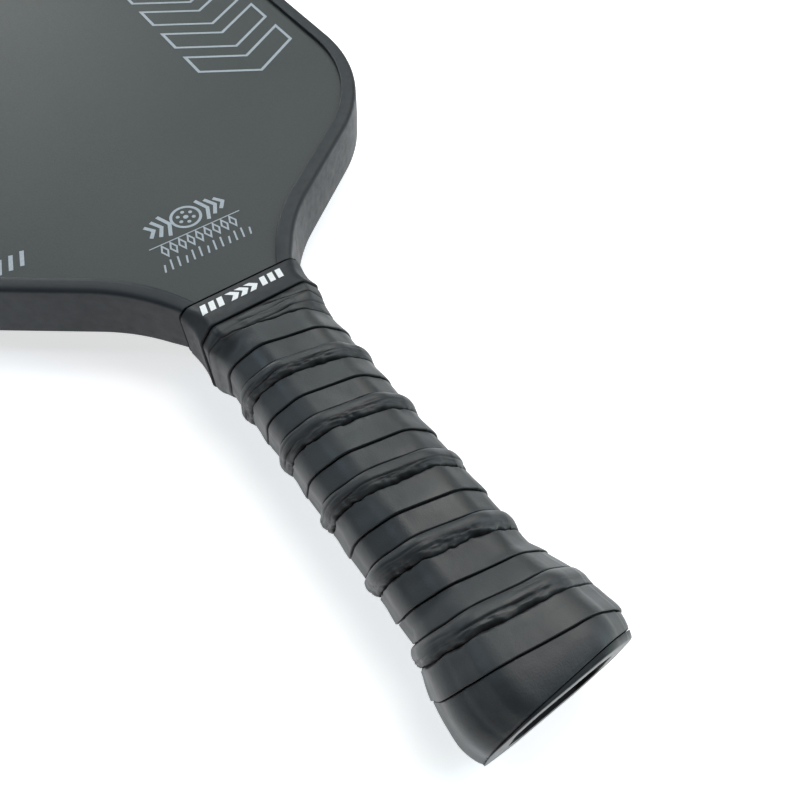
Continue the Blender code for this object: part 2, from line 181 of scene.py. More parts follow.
# The cord under the rib, and the channel for it on the strip's underside.
CORD_ACROSS = 10.9
CORD_HALF_WIDTH = 1.6
CORD_HALF_HEIGHT = 0.42
CORD_HEIGHT = 0.64
CORD_STATIONS_PER_TURN = 120
CHANNEL_HALF_WIDTH = 1.9
CHANNEL_HEIGHT = 1.2
UNDERSIDE = 0.12

# The butt cap. Its flange is a little wider at the paddle's right than at its left.
FLANGE_WIDTH = 1.05
FLANGE_SLANT = 0.04
NARROWEST_FLANGE = 0.2
FLANGE_GAP = 0.15
CAP_RECESS_DEPTH = 4.3
CAP_RECESS = (13.6, 10.8, 5.0, 4.0)
CAP_SOCKET = 7.6
CAP_MOUTH = 24.9
CAP_UNDER_GRIP = 0.15
SOCKET_GAP = 0.1
RING_POINTS = 200


# Small helpers.


def place(x, along, z):
    """A point in metres in the row frame."""
    return (x * MM, BUTT + along * MM, z * MM)


def smooth(t):
    t = np.clip(t, 0.0, 1.0)
    return t * t * (3 - 2 * t)


def ramp(value, start, length):
    """Rises smoothly from 0 at the start to 1 over that length."""
    return smooth((value - start) / length)


def near(value, centre, width):
    """A bell that is 1 at the centre and fades over the width."""
    return np.exp(-(((value - centre) / width) ** 2))


def lattice(i, j, seed):
    """A repeatable number from -1 to 1 for each pair of whole numbers."""
    n = (i.astype(np.int64) * 374761393 + j.astype(np.int64) * 668265263 + seed * 97531) & 0xFFFFFFFF
    n = ((n ^ (n >> 13)) * 1274126177) & 0xFFFFFFFF
    return ((n ^ (n >> 16)) & 0xFFFF) / 32767.5 - 1.0


def ripple(x, y, seed):
    """Smooth noise from -1 to 1 over a plane, with bumps about one unit across."""
    x, y = np.broadcast_arrays(np.asarray(x, float), np.asarray(y, float))
    i = np.floor(x)
    j = np.floor(y)
    u = smooth(x - i)
    v = smooth(y - j)
    low = lattice(i, j, seed) * (1 - u) + lattice(i + 1, j, seed) * u
    high = lattice(i, j + 1, seed) * (1 - u) + lattice(i + 1, j + 1, seed) * u
    return low * (1 - v) + high * v


def wave(kind, s, across=0.0):
    """Noise of one kind: its depth, its length and width, and a seed."""
    depth, length, width, seed = kind
    return depth * ripple(s / length, across / width, seed)


def presence(kind, s, across=0.0):
    """How much something that comes and goes is there, from 0 to 1."""
    share, gain, length, seed = kind
    return smooth(share + gain * ripple(s / length, across, seed))


def mesh_object(name, points, faces, smooth_angle=40):
    mesh = bpy.data.meshes.new(name)
    mesh.from_pydata(points, [], faces)
    work = bmesh.new()
    work.from_mesh(mesh)
    bmesh.ops.recalc_face_normals(work, faces=work.faces)
    work.to_mesh(mesh)
    work.free()
    mesh.shade_smooth()
    mesh.set_sharp_from_angle(angle=math.radians(smooth_angle))
    made = bpy.data.objects.new(name, mesh)
    bpy.context.scene.collection.objects.link(made)
    return made


def bridge(first, second, count):
    """Faces between two closed rings of that many points, given the number of each ring's first point."""
    following = [(i + 1) % count for i in range(count)]
    return [(first + i, first + k, second + k, second + i) for i, k in enumerate(following)]


def set_hollow(mesh, values):
    """How much painted shade darkens each point of a mesh, from 0 to 1; it also makes the point rougher."""
    shade = mesh.attributes.new("hollow", "FLOAT", "POINT")
    shade.data.foreach_set("value", np.asarray(values, np.float32))


def loft(name, rings, caps=True, smooth_angle=40):
    """A bar through closed rings of (x, along, z) points. Without caps, its last ring joins its first."""
    count = len(rings[0])
    points = [place(*p) for ring in rings for p in ring]
    faces = []
    for k in range(len(rings) - 1):
        faces += bridge(k * count, (k + 1) * count, count)
    last = (len(rings) - 1) * count
    if caps:
        faces += [tuple(range(count)), tuple(range(last, last + count))]
    else:
        faces += bridge(last, 0, count)
    return mesh_object(name, points, faces, smooth_angle)


def arc(centre, radius, start, end, steps):
    """Points on an arc, with both of its ends."""
    angles = [start + (end - start) / steps * k for k in range(steps + 1)]
    return [(centre[0] + radius * math.cos(a), centre[1] + radius * math.sin(a)) for a in angles]


def finish_piece(piece, material, slot, *nodes):
    """Gives a piece its material, lets it ride on the paddle and hides the CAD nodes that it stands for."""
    piece.data.materials.clear()
    piece.data.materials.append(material)
    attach(piece, BODY)
    if nodes:
        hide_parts(*nodes)


# Materials: each is a Principled BSDF with procedural colour, roughness and bump.


class Finish:
    """A small builder for one node material. Its textures use the object's own metres."""

    def __init__(self, name):
        self.material = bpy.data.materials.new(name)
        self.material.use_nodes = True
        self.tree = self.material.node_tree
        self.shader = self.tree.nodes["Principled BSDF"]
        self.coordinates = self.tree.nodes.new("ShaderNodeTexCoord").outputs["Object"]

    def link(self, source, target):
        self.tree.links.new(source, target)

    def set(self, **values):
        for name, value in values.items():
            self.shader.inputs[name.replace("_", " ")].default_value = value

    def noise(self, size, detail=4.0, stretch=(1, 1, 1), roughness=0.55):
        """Noise with features about size millimetres across, from 0 to 1."""
        mapping = self.tree.nodes.new("ShaderNodeMapping")
        mapping.inputs["Scale"].default_value = stretch
        self.link(self.coordinates, mapping.inputs["Vector"])
        node = self.tree.nodes.new("ShaderNodeTexNoise")
        node.inputs["Scale"].default_value = 1 / (size * MM)
        node.inputs["Detail"].default_value = detail
        node.inputs["Roughness"].default_value = roughness
        self.link(mapping.outputs["Vector"], node.inputs["Vector"])
        return node.outputs["Fac"]

    def cells(self, size, feature="DISTANCE_TO_EDGE"):
        node = self.tree.nodes.new("ShaderNodeTexVoronoi")
        node.feature = feature
        node.inputs["Scale"].default_value = 1 / (size * MM)
        self.link(self.coordinates, node.inputs["Vector"])
        return node.outputs["Distance"]

    def spread(self, source, low, high, out_low, out_high):
        node = self.tree.nodes.new("ShaderNodeMapRange")
        for name, value in zip(("From Min", "From Max", "To Min", "To Max"), (low, high, out_low, out_high)):
            node.inputs[name].default_value = value
        self.link(source, node.inputs["Value"])
        return node.outputs["Result"]

    def maths(self, operation, first, second):
        node = self.tree.nodes.new("ShaderNodeMath")
        node.operation = operation
        for socket, value in zip(node.inputs, (first, second)):
            if isinstance(value, (int, float)):
                socket.default_value = value
            else:
                self.link(value, socket)
        return node.outputs["Value"]

    def blend(self, share, first, second):
        node = self.tree.nodes.new("ShaderNodeMix")
        node.data_type = "RGBA"
        self.link(share, node.inputs["Factor"])
        for name, value in (("A", first), ("B", second)):
            socket = next(s for s in node.inputs if s.name == name and s.type == "RGBA")
            if isinstance(value, tuple):
                socket.default_value = (*value, 1.0)
            else:
                self.link(value, socket)
        return next(s for s in node.outputs if s.type == "RGBA")

    def attribute(self, name):
        node = self.tree.nodes.new("ShaderNodeAttribute")
        node.attribute_name = name
        return node.outputs["Fac"]

    def bump(self, height, depth, before=None):
        """Bump of that depth in millimetres, laid over the bump before it."""
        node = self.tree.nodes.new("ShaderNodeBump")
        node.inputs["Distance"].default_value = depth * MM
        node.inputs["Strength"].default_value = 1.0
        self.link(height, node.inputs["Height"])
        if before is not None:
            self.link(before, node.inputs["Normal"])
        return node.outputs["Normal"]

    def colour(self, source):
        self.link(source, self.shader.inputs["Base Color"])

    def roughness(self, source):
        self.link(source, self.shader.inputs["Roughness"])

    def normal(self, source):
        self.link(source, self.shader.inputs["Normal"])


def carbon_face():
    made = Finish("raw_carbon_face")
    made.set(Metallic=0.0, IOR=1.45)
    cloud = made.noise(70, 3)
    grit = made.noise(0.45, 6)
    made.colour(made.blend(made.spread(cloud, 0.3, 0.7, 0, 1), (0.034, 0.040, 0.040), (0.041, 0.046, 0.046)))
    made.roughness(made.spread(grit, 0.3, 0.7, 0.5, 0.66))
    made.normal(made.bump(grit, 0.05, made.bump(made.noise(0.9, 3, (1, 0.25, 1)), 0.02)))
    return made.material


def guard_plastic():
    made = Finish("edge_guard_plastic")
    made.set(**{"Metallic": 0.0, "IOR": 1.46, "Specular IOR Level": 0.32})
    cloud = made.noise(25, 4)
    made.colour(made.blend(made.spread(cloud, 0.3, 0.7, 0, 1), (0.020, 0.023, 0.027), (0.027, 0.030, 0.034)))
    made.roughness(made.spread(made.noise(3, 5), 0.3, 0.7, 0.42, 0.56))
    made.normal(made.bump(made.noise(0.35, 4), 0.02))
    return made.material


def collar_rubber():
    made = Finish("collar_rubber")
    made.set(**{"Metallic": 0.0, "IOR": 1.47, "Specular IOR Level": 0.33})
    base = made.blend(made.noise(12, 4), (0.014, 0.016, 0.019), (0.020, 0.023, 0.027))
    # Painted shade: the colour blends to near black on the lip's groove, the lower edge's rounding and the
    # inside.
    made.colour(made.blend(made.attribute("hollow"), base, (0.001, 0.001, 0.0012)))
    made.roughness(made.spread(made.noise(2.5, 5), 0.3, 0.7, 0.44, 0.58))
    made.normal(made.bump(made.noise(0.5, 4), 0.02))
    return made.material


def grip_leather():
    made = Finish("grip_synthetic_leather")
    made.set(Metallic=0.0, IOR=1.47)
    made.set(**{"Sheen Weight": 0.08, "Sheen Roughness": 0.5})
    cloud = made.noise(18, 4)
    base = made.blend(made.spread(cloud, 0.3, 0.7, 0, 1), (0.023, 0.026, 0.029), (0.033, 0.036, 0.038))
    # Painted shade: the colour blends to near black in the crease, the line, the lap gap, the folds and on
    # the rib's slope.
    made.colour(made.blend(made.attribute("hollow"), base, (0.001, 0.001, 0.0012)))
    rub = made.spread(made.noise(9, 5, (1, 0.6, 1)), 0.3, 0.7, 0.37, 0.55)
    made.roughness(made.maths("ADD", rub, made.maths("MULTIPLY", made.attribute("hollow"), 0.3)))
    grain = made.spread(made.cells(0.8), 0.0, 0.25, 0, 1)
    soft = made.bump(made.noise(6, 4), 0.12)
    made.normal(made.bump(made.noise(0.35, 4), 0.02, made.bump(grain, 0.007, soft)))
    return made.material


def cap_plastic(name, dark, light, rough):
    made = Finish(name)
    made.set(**{"Metallic": 0.0, "IOR": 1.47, "Specular IOR Level": 0.4})
    base = made.blend(made.noise(9, 4), dark, light)
    # Painted shade: the colour blends to near black in the recess, the flange's groove and the hidden rings.
    made.colour(made.blend(made.attribute("hollow"), base, (0.001, 0.001, 0.0012)))
    rub = made.spread(made.noise(2, 5), 0.3, 0.7, rough - 0.06, rough + 0.06)
    made.roughness(made.maths("ADD", rub, made.maths("MULTIPLY", made.attribute("hollow"), 0.3)))
    made.normal(made.bump(made.noise(0.4, 4), 0.02))
    return made.material


def print_ink(name, colour, worn):
    made = Finish(name)
    made.set(Metallic=0.0, IOR=1.45)
    speck = made.spread(made.noise(0.35, 4), 0.45, 0.75, 0, 1)
    made.colour(made.blend(speck, colour, worn))
    made.roughness(made.spread(made.noise(1.2, 4), 0.3, 0.7, 0.45, 0.6))
    made.normal(made.bump(made.noise(0.45, 6), 0.03))
    return made.material


def plain_part(name, dark, light, rough, metallic=0.0):
    """A hidden part's finish: mottled, with a fine grain."""
    made = Finish(name)
    made.set(Metallic=metallic)
    made.colour(made.blend(made.noise(5, 4), dark, light))
    made.roughness(made.spread(made.noise(1.5, 4), 0.3, 0.7, rough - 0.08, rough + 0.08))
    made.normal(made.bump(made.noise(0.5, 4), 0.02))
    return made.material


# The edge guard.


def head_path(inset, neck_steps=26, corner_steps=34, top_steps=34, crown_steps=8):
    """The whole outline of the head as (x, along) points, set in by a distance."""
    neck_centre = (NECK_HALF_WIDTH + NECK_RADIUS, NECK_START)
    first = math.asin((NECK_FIRST - NECK_START) / NECK_RADIUS)
    shoulder = math.pi / 2 - SHOULDER_ANGLE
    neck_end = arc(neck_centre, NECK_RADIUS, math.pi - shoulder, 0, 1)[0]
    corner_x = HEAD_HALF_WIDTH - CORNER_RADIUS
    straight = corner_x + CORNER_RADIUS * math.sin(SHOULDER_ANGLE) - neck_end[0]
    corner_y = neck_end[1] + straight * math.tan(SHOULDER_ANGLE) + CORNER_RADIUS * math.cos(SHOULDER_ANGLE)
    top_x = HEAD_HALF_WIDTH - TOP_CORNER_RADIUS
    crown_centre = (0.0, LENGTH - CROWN_RADIUS)
    crown_reach = CROWN_RADIUS - TOP_CORNER_RADIUS
    crown_angle = math.acos(top_x / crown_reach)
    top_centre = (top_x, crown_centre[1] + crown_reach * math.sin(crown_angle))
    half = arc(neck_centre, NECK_RADIUS + inset, math.pi - first, math.pi - shoulder, neck_steps)
    half += arc((corner_x, corner_y), CORNER_RADIUS - inset, -shoulder, 0, corner_steps)
    half += arc(top_centre, TOP_CORNER_RADIUS - inset, 0, crown_angle, top_steps)
    half += arc(crown_centre, CROWN_RADIUS - inset, crown_angle, math.pi / 2, crown_steps)[1:]
    return half + [(-x, y) for x, y in half[-2::-1]]


def guard_profile(proud):
    """The channel's cross-section: (inset, height) points round its wall, lips and inside."""
    top = GUARD_HALF_THICKNESS + proud
    shoulder = top - GUARD_ROUND
    underside = FACE_HEIGHT + GUARD_LIP_GAP
    bevel = GUARD_LIP_ROUND
    upper = [(GUARD_CROWN * share**2 - proud, share * shoulder) for share in (0.25, 0.5, 0.75, 1.0)]
    edge = GUARD_CROWN - proud
    for k in range(1, 8):
        turn = math.radians(12 * k)
        inset = GUARD_ROUND - (GUARD_ROUND - edge) * math.cos(turn)
        upper.append((inset, shoulder + GUARD_ROUND * math.sin(turn)))
    upper += [(2.6, top), (3.6, top - 0.01), (GUARD_LIP - bevel, top - 0.05)]
    upper += [(GUARD_LIP - 0.1, top - 0.15), (GUARD_LIP, top - bevel), (GUARD_LIP, underside)]
    upper += [(GUARD_WALL + 0.2, underside)]
    return upper + [(inset, -z) for inset, z in upper[::-1]]


def make_guard():
    """The channel. It stands proud of the CAD's guard, but not under the collar."""
    flush, full = [
        np.array([[(x, along, z) for x, along in head_path(inset)] for inset, z in guard_profile(proud)])
        for proud in (0.0, GUARD_PROUD)
    ]
    share = ramp(flush[:1, :, 1:2], COLLAR_END, GUARD_RISE)
    points = flush * (1 - share) + full * share
    rings = [[tuple(point) for point in ring] for ring in points.transpose(1, 0, 2)]
    return loft("edge_guard_channel", rings, smooth_angle=50)


# Octagons seen along the handle.


def octagon_corners(half_width, half_height, chamfer_x, chamfer_z):
    quarter = [(half_width - chamfer_x, half_height), (half_width, half_height - chamfer_z)]
    corners = quarter + [(x, -z) for x, z in quarter[::-1]]
    return corners + [(-x, z) for x, z in corners[::-1]]


def rounded(corners, radius, arc_steps=6, longest=1.2):
    """A rounded outline: points, outward normals, a span for each point, and the sides' lengths.

    A span is the number of the corner behind the point, and the point's distance past it.
    """
    count = len(corners)
    corners = np.array(corners, float)
    sides = np.roll(corners, -1, 0) - corners
    lengths = np.linalg.norm(sides, axis=1)
    normals = np.c_[sides[:, 1], -sides[:, 0]] / lengths[:, None]
    normals *= np.sign((normals * (corners + sides / 2)).sum(1))[:, None]
    points = []
    outward = []
    spans = []
    for k in range(count):
        before = normals[k - 1]
        after = normals[k]
        angle = math.acos(np.clip(before @ after, -1, 1))
        cut = min(radius * math.tan(angle / 2), 0.45 * lengths[k - 1], 0.45 * lengths[k])
        bend = cut / math.tan(angle / 2)
        centre = corners[k] - sides[k - 1] / lengths[k - 1] * cut - before * bend
        for step in range(arc_steps + 1):
            share = step / arc_steps
            normal = before * math.sin((1 - share) * angle) + after * math.sin(share * angle)
            normal /= np.linalg.norm(normal)
            points.append(centre + normal * bend)
            outward.append(normal)
            spans.append((k, 0.5 * (share - 0.5) * 2 * cut))
        steps = max(1, int((lengths[k] - 2 * cut) / longest))
        start = corners[k] + sides[k] / lengths[k] * cut
        end = corners[(k + 1) % count] - sides[k] / lengths[k] * cut
        for step in range(1, steps):
            share = step / steps
            points.append(start * (1 - share) + end * share)
            outward.append(after)
            spans.append((k, cut + share * (lengths[k] - 2 * cut)))
    return np.array(points), np.array(outward), spans, lengths


class HandleSection:
    """The octagon that the grip is wound on, as functions of the distance round it from the top's middle."""

    def __init__(self):
        corners = octagon_corners(HANDLE_HALF_WIDTH, HANDLE_HALF_HEIGHT, CHAMFER_X, CHAMFER_Z)
        points, normals, spans, lengths = rounded(corners, BASE_ROUND, 8, 0.5)
        right = [*FLARE_SHIFT, *((x, -z) for x, z in FLARE_SHIFT[::-1])]
        shifts = np.array(right + [(-x, z) for x, z in right[::-1]])
        moved = []
        for k, distance in spans:
            if distance < 0:
                share = 1 + distance / lengths[k - 1]
                moved.append(shifts[k - 1] * (1 - share) + shifts[k] * share)
            else:
                share = distance / lengths[k]
                moved.append(shifts[k] * (1 - share) + shifts[(k + 1) % len(shifts)] * share)
        moved = np.array(moved)
        loop = np.r_[points, points[:1]]
        travelled = np.r_[0, np.cumsum(np.linalg.norm(np.diff(loop, axis=0), axis=1))]
        self.around = travelled[-1]
        self.distance = travelled + points[0][0]
        self.columns = [np.r_[c, c[:1]] for c in (*points.T, *normals.T, *moved.T)]
        self.gaps = self.corner_gaps(points, normals)

    @staticmethod
    def corner_gaps(points, normals):
        """How far each point of the rounded outline lies inside the one with sharp corners."""
        facings = normals @ normals.T
        reaches = (points * normals).sum(1)[None, :] - points @ normals.T
        gaps = np.where(facings > 0.7, reaches / np.maximum(facings, 0.7), np.inf)
        on_axis = np.isclose(np.abs(normals).max(1), 1.0)
        flat = on_axis | np.isclose(np.roll(normals, 1, 0), normals).all(1)
        return np.where(flat[None, :], gaps, np.inf).min(1)

    def wrapped(self, distance):
        return (np.asarray(distance) - self.distance[0]) % self.around + self.distance[0]

    def at(self, distance):
        """Arrays of base x and z, normal x and z, and flare shift x and z, at distances round the handle."""
        return [np.interp(self.wrapped(distance), self.distance, column) for column in self.columns]

    def corner_gap(self, distance):
        """How far the shells' sharp corners stand above the rounded surface under the grip."""
        gaps = np.r_[self.gaps, self.gaps[:1]]
        return np.clip(np.interp(self.wrapped(distance), self.distance, gaps), 0.0, 0.6)


def flare(along):
    rising = np.sin(math.pi / 2 * np.clip((FLARE_START - along) / (FLARE_START - FLARE_WIDEST), 0, 1))
    tuck = np.clip((FLARE_WIDEST - along) / FLARE_WIDEST, 0, 1) ** 2
    return FLARE_GROWTH * rising - FLARE_TUCK * tuck


def handle_points(section, distance, along, height):
    """Points at a height above the bare handle: arrays of x and z."""
    x, z, nx, nz, sx, sz = section.at(distance)
    growth = flare(along)
    return x + growth * sx + height * nx, z + growth * sz + height * nz


# The grip. A point on the strip has a distance s round the handle and a place across the strip, measured
# from its lower edge. The place along the paddle follows from both.


def strip_columns():
    """Places across the strip's upper side, close together where its edge, crease, rib and lap need them."""
    spans = [(0.0, 0.4, 7), (0.4, 7.0, 10), (7.0, 7.5, 4), (7.5, 8.4, 11), (8.4, 10.6, 16)]
    spans += [(10.6, 12.9, 9), (12.9, 14.1, 11), (14.1, PITCH - 0.9, 8)]
    spans += [(PITCH - 0.9, PITCH - 0.2, 10), (PITCH, PITCH + LAP - 0.3, 5)]
    return np.unique(np.round(np.concatenate([np.linspace(*span) for span in spans]), 4))


def rib_share(along):
    """How much of the rib there is: it grows out of the butt's flare and sinks before the collar."""
    return ramp(along, *RIB_GROWS) * (1 - RIB_SINK_SHARE * ramp(along, *RIB_SINKS))


def rib_shape(t, s):
    """The rib's height, as a share, past the crease: a short rise, a long slope and a soft fall."""
    crest = RIB_TOP + wave(CREST_STRAY, s)
    slope = 0.42 * smooth(t / 1.0) + 0.58 * smooth(t / crest)
    past_top = np.clip(t - RIB_TOP, 0, None) / (RIB_END - CREASE - RIB_TOP)
    return np.where(t > 0, slope * np.sqrt(np.clip(1 - past_top**2, 0, 1)), 0.0)


def strip_body(across, s, along, nx):
    """The strip's height without its rib and lines: it is looser, and smoother at its edges, at the butt."""
    firm = ramp(along, *LAPS_GROW)
    inner = ramp(across, 0, 4.0) * ramp(PITCH - across, 0, 4.0)
    loose = firm + (1 - firm) * inner
    height = THICKNESS - SIDE_LEAN * nx + LAP_STEP * firm * (1 - ramp(across, 0, 6.0))
    swell = ramp(along, *SWELL_GROWS) * (1 - ramp(along, *SWELL_SINKS))
    height += LEFT_SWELL * np.clip(-nx, 0, 1) * swell
    height += loose * (wave(BROAD_WAVE, s, across) + wave(SMALL_WAVE, s, across))
    height += loose * wave(LOOSE_WAVE, s, along) * (1 - ramp(along, *LOOSENESS_ENDS))
    return height - 0.22 * firm * (1 - ramp(across, 0, 0.2)) ** 2


def rib_relief(t, s, share, bright):
    """The rib with its wrinkles and folds, at a distance past the crease: its height and its painted shade.

    The wrinkles and folds fade where bright is 1.
    """
    height = RIB_HEIGHT * share * rib_shape(t, s) * (1 + wave(RIB_WAVE, s))
    slope = ramp(t, 0.15, 0.35) * (1 - ramp(t, 1.9, 0.8))
    wrinkle = wave(LONG_WRINKLE, s, t) + wave(SHORT_WRINKLE, s, t) + wave(GATHER, s, t)
    height += share * slope * (wrinkle * (1 - 0.6 * bright) - 0.12)
    crown = ramp(t, 1.2, 0.8) * (1 - ramp(t, 4.6, 0.8))
    height += share * crown * wave(CROWN_WAVE, s, t)
    first = near(t, 2.2 + wave(FIRST_FOLD_STRAY, s), 0.22) * presence(FIRST_FOLD, s)
    second = near(t, 3.5 + wave(SECOND_FOLD_STRAY, s), 0.22) * presence(SECOND_FOLD, s)
    height -= share * (0.34 * first + 0.20 * second) * (1 - bright)
    height += share * near(t, -0.5, 0.5) * wave(CREASE_WAVE, s, t)
    # Painted shade: patches on the rib's slope, spots beside the crease, and the folds.
    blotch = slope * presence(BLOTCHES, s, t / 0.6)
    pit = near(t, 0.45, 0.35) * presence(PITS, s)
    return height, share * (0.35 * blotch + 0.5 * pit + 0.8 * first + 0.5 * second)


def strip_surface(across, s, along, nx):
    """The strip's upper side: its height above the bare handle, and how much painted shade darkens it there.
    """
    right = np.clip(nx, 0, 1)
    share = rib_share(along) * (1 - 0.16 * right - 0.5 * right * (1 - ramp(along, *RIGHT_RIB_GROWS)))
    bright = 0.9 * ramp(nx, 0, 0.3)
    marked = ramp(along, *LINES_GROW)
    t = across - CREASE
    relief, dark = rib_relief(t, s, share, bright)
    nick = presence(NICKS, s) * share
    crease = near(t, 0.05 * nick, 0.22 + 0.18 * nick) * marked
    line_width = 0.21 + wave(LINE_WIDTH_WAVE, s)
    line = near(across, RIB_END, line_width) * (0.8 + wave(LINE_DEPTH_WAVE, s)) * marked
    height = strip_body(across, s, along, nx) + relief
    height -= crease * (CREASE_DEPTH + 0.6 * share + 0.35 * nick) + line * LINE_DEPTH
    firm = ramp(along, *LAPS_GROW)
    gap = firm * (0.38 + 0.16 * ramp(along, *GAP_GROWS)) - 0.1 * (1 - firm)
    under = ramp(across, PITCH - gap, 0.18)
    thickening = (LAP_THICKNESS - LAP_START_THICKNESS) * ramp(across, PITCH + 0.5, 0.8)
    height = height * (1 - under) + (LAP_START_THICKNESS + thickening) * under
    # Painted shade in the crease, along the line and in the gap under the next turn's lap.
    hollow = np.clip(1.6 * crease + 1.3 * line + under, 0, 1)
    return height, np.clip(hollow + dark, 0, 1)


def end_heights(height, along, x, nx):
    """Thins the strip beside the butt's flange and beside the collar, where its left side bulges first."""
    height = height - 0.12 * (1 - ramp(along, grip_low(x), 0.9)) ** 2
    height = height + 1.1 * np.clip(-nx, 0, 1) ** 2 * ramp(along, *LEFT_BULGE_GROWS)
    return height - 0.8 * ramp(along, GRIP_END - 1.0, 0.9) ** 2


def collar_folds(s, along, x, nx):
    """Thin folds that run across the wrap below the collar and gather at its left, from 0 to 1."""
    depth = np.zeros_like(along)
    for centre, strength, seed in COLLAR_FOLDS:
        stray = wave((0.35, 7, 1, seed), s) + wave((0.12, 2.2, 1, seed + 4), s)
        depth = depth + strength * near(along + COLLAR_FOLD_LEAN * x, centre + stray, 0.27)
    return depth * (0.75 + wave((0.25, 5, 1, 33), s)) * ramp(nx, -1.3, 0.8)


def flange_width(x):
    return np.maximum(FLANGE_WIDTH + FLANGE_SLANT * x, NARROWEST_FLANGE)


def grip_low(x):
    """Where the grip begins, past the cap's flange."""
    return flange_width(x) + FLANGE_GAP


def edge_shift(turn):
    """How far the strip's lower edge strays from its even spiral. It climbs at the last turn's left."""
    return wave(EDGE_STRAY, turn * 4.2) + 1.7 * near(turn, 4.66, 0.17)


def fill_collar(x, along, z):
    """Pushes the grip's surface out towards the collar's section, as it nears the collar."""
    points = collar_outline(COLLAR_START)[0]
    angles = np.arctan2(points[:, 0], points[:, 1])
    wanted = np.interp(np.arctan2(x, z), angles, np.linalg.norm(points, axis=1), period=2 * math.pi)
    radius = np.hypot(x, z)
    push = np.clip(wanted - 0.75 - radius, 0, None) * ramp(along, *COLLAR_FILL_GROWS)
    return x * (1 + push / radius), z * (1 + push / radius)


def strip_place(turns, across):
    """The place along the paddle of a point across the strip, with the strays of its edges."""
    share = across / PITCH
    even = FIRST_SEAM - PITCH * turns + across
    return even + edge_shift(turns) * (1 - share) + edge_shift(turns - 1) * share


def strip_underside():
    """Places across the strip's underside, their heights, and whether each lies on the handle itself."""
    channel = CORD_ACROSS + CHANNEL_HALF_WIDTH * np.array([1.0, 0.85, -0.85, -1.0])
    across = np.array([PITCH + LAP - 0.3, PITCH, 14.0, *channel, 8.0, LAP + 0.6, LAP, 1.2, 0.22])
    over_cord = (UNDERSIDE, CHANNEL_HEIGHT, CHANNEL_HEIGHT, UNDERSIDE)
    over_lap = (0.97, 1.15, 1.3)
    height = np.array([UNDERSIDE] * 3 + [*over_cord] + [UNDERSIDE] * 2 + [*over_lap])
    return across, height, across > LAP


def strip_grid(section):
    """The strip's closed cross-section at each station along its spiral: x, along, z and painted shade
    arrays.
    """
    start = GRIP_START - PITCH - LAP - 1.0
    first = (FIRST_SEAM - (GRIP_END + 1.5)) / PITCH
    last = (FIRST_SEAM - start) / PITCH
    turns = np.linspace(first, last, int((last - first) * STATIONS_PER_TURN))[:, None]
    top_across = strip_columns()
    low_across, low_height, on_handle = strip_underside()
    count = len(top_across)
    across = np.concatenate([top_across, low_across])[None, :]
    s, across = np.broadcast_arrays(turns * section.around, across)
    upper = np.arange(across.shape[1])[None, :] < count
    t = across - CREASE
    along = strip_place(s / section.around, across)
    wander = wave(CREASE_STRAY, s) + wave(CREASE_JITTER, s)
    lean = 0.38 * near(t, 0.42, 0.38) * rib_share(along) * (0.7 + wave(LEAN_WAVE, s))
    along = along + np.where(upper, wander * near(t, 0.2, 1.3) - lean, 0.0)
    along = along + np.where(upper, wave(LINE_STRAY, s) * near(across, RIB_END, 1.1), 0.0)
    x, _, nx, *_ = section.at(s)
    height, hollow = strip_surface(across, s, along, nx)
    height = end_heights(height, along, x + flare(along) * np.sign(x), nx)
    folds = collar_folds(s, along, x, nx)
    height = height - COLLAR_FOLD_DEPTH * folds
    # Painted shade in the folds below the collar, and a painted shadow on the wrap just below the collar's
    # lower edge.
    hollow = np.clip(hollow + folds + ramp(along, COLLAR_START - 0.95, 0.5), 0, 1)
    height[:, count:] = low_height + on_handle * section.corner_gap(s[:, count:])
    # The strip's hidden underside is given full painted shade.
    hollow[:, count:] = 1.0
    x, z = handle_points(section, s, along, height)
    x[:, :count], z[:, :count] = fill_collar(x[:, :count], along[:, :count], z[:, :count])
    return x, along, z, hollow


def make_cord(section):
    """The foam cord in the strip's channel, an oval that follows the strip's spiral."""
    middle = FIRST_SEAM + CORD_ACROSS
    first = (middle - CORD_END + CORD_HALF_WIDTH) / PITCH
    last = (middle - CORD_START - CORD_HALF_WIDTH) / PITCH
    turns = np.linspace(first, last, int((last - first) * CORD_STATIONS_PER_TURN))[:, None]
    angles = np.linspace(0, 2 * math.pi, 12, endpoint=False)[None, :]
    s = np.broadcast_to(turns * section.around, (len(turns), angles.shape[1]))
    along = strip_place(turns, CORD_ACROSS + CORD_HALF_WIDTH * np.cos(angles))
    height = CORD_HEIGHT + CORD_HALF_HEIGHT * np.sin(angles) + section.corner_gap(s)
    x, z = handle_points(section, s, along, height)
    rings = [list(zip(*ring)) for ring in zip(x, along, z)]
    return loft("foam_cord", rings, smooth_angle=60)


def trim_ends(piece, ends):
    """Cuts a closed piece flat at its ends, each a place and an outward direction, and closes the cuts."""
    work = bmesh.new()
    work.from_mesh(piece.data)
    for point, outward in ends:
        geometry = list(work.verts) + list(work.edges) + list(work.faces)
        cut = bmesh.ops.bisect_plane(
            work,
            geom=geometry,
            dist=1e-7,
            plane_co=point,
            plane_no=outward,
            clear_outer=True,
        )
        edges = [item for item in cut["geom_cut"] if isinstance(item, bmesh.types.BMEdge)]
        bmesh.ops.holes_fill(work, edges=edges)
    bmesh.ops.recalc_face_normals(work, faces=work.faces)
    work.to_mesh(piece.data)
    work.free()


